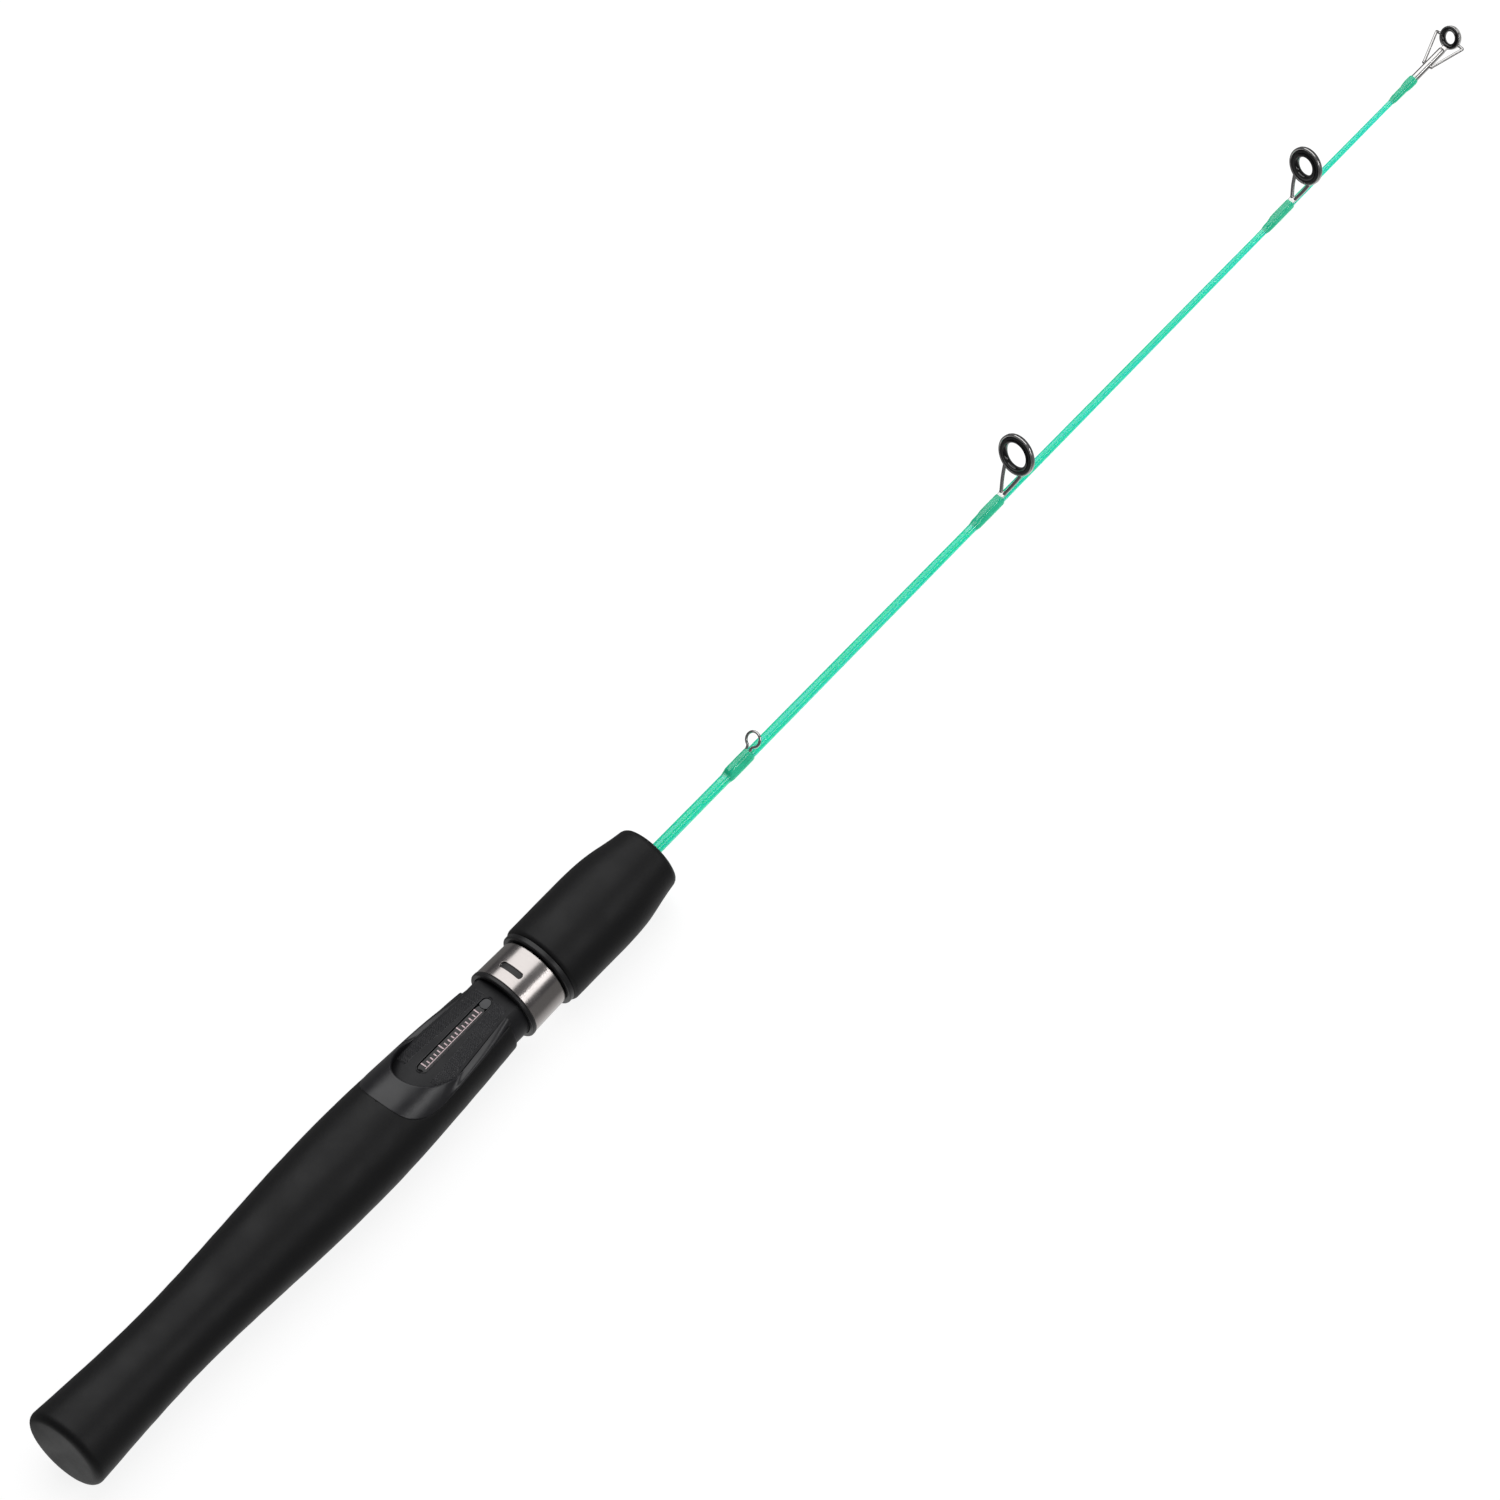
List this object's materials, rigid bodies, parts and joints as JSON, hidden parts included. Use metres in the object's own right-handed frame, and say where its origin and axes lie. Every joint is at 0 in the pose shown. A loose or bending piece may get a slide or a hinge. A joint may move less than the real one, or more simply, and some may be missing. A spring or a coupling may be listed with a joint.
{
  "type": "ice fishing rod",
  "caption": "Short one-piece ice fishing rod with foam grips, screw-down spinning reel seat, tapered glass-fibre blank, hook keeper, ring guides and a braced tip-top.",
  "frame": {"origin": "centre of the flat butt face", "axes": "+X along the rod's axis from the butt to the tip, +Z towards the side that carries the reel and the guides"},
  "size_m": [0.5996, 0.0288, 0.0324],
  "materials": {
    "grip_foam": "matte closed-cell EVA foam, ground smooth",
    "core_plastic": "plain extruded tube and moulded bushes",
    "seat_plastic": "satin moulded, fine knurled bands on the bed",
    "badge_gloss": "high gloss black plate with pale scale marks",
    "hood_metal": "polished with a faint turned grain",
    "hood_plastic": "satin moulded",
    "blank_glass_fibre": "translucent solid glass fibre under gloss varnish",
    "wrap_thread": "fine nylon thread laid turn by turn",
    "wrap_coat": "clear gloss epoxy",
    "guide_steel": "polished stainless steel",
    "shock_ring_black": "satin moulded ring",
    "ring_ceramic": "polished black aluminium oxide"
  },
  "bodies": {
    "rod": {"rear_grip": "grip_foam", "core_tube": "core_plastic", "rear_arbor": "core_plastic", "front_arbor": "core_plastic", "reel_seat_body": "seat_plastic", "badge_plate": "badge_gloss", "blank": "blank_glass_fibre", "keeper_wire": "guide_steel", "tip_tube": "guide_steel", "tip_frame": "guide_steel", "tip_braces": "guide_steel", "keeper_wrap": "wrap_thread", "keeper_clear_coat": "wrap_coat", "guide1_wrap": "wrap_thread", "guide1_clear_coat": "wrap_coat", "guide2_wrap": "wrap_thread", "guide2_clear_coat": "wrap_coat", "tip_wrap": "wrap_thread", "tip_clear_coat": "wrap_coat", "guide1_frame": "guide_steel", "guide2_frame": "guide_steel", "guide1_shock_ring": "shock_ring_black", "guide1_ceramic_ring": "ring_ceramic", "guide2_shock_ring": "shock_ring_black", "guide2_ceramic_ring": "ring_ceramic", "tip_shock_ring": "shock_ring_black", "tip_ceramic_ring": "ring_ceramic"},
    "moving_hood": {"hood_sleeve": "hood_metal", "hood_liner": "hood_plastic"},
    "foregrip": {"foregrip": "grip_foam", "lock_nut": "hood_plastic"}
  },
  "joints": [
    {"name": "hood_slide", "type": "slide", "parent": "rod", "child": "moving_hood", "axis": [1, 0, 0], "range_m": [-0.004, 0.008]},
    {"name": "foregrip_turn", "type": "hinge", "parent": "moving_hood", "child": "foregrip", "pos_m": [0.22, 0, 0], "axis": [1, 0, 0], "range_deg": [-721, 1441]}
  ],
  "couplings": [
    {"joint": "foregrip_turn", "follows": "hood_slide", "rad_per_m": 3141.6}
  ]
}
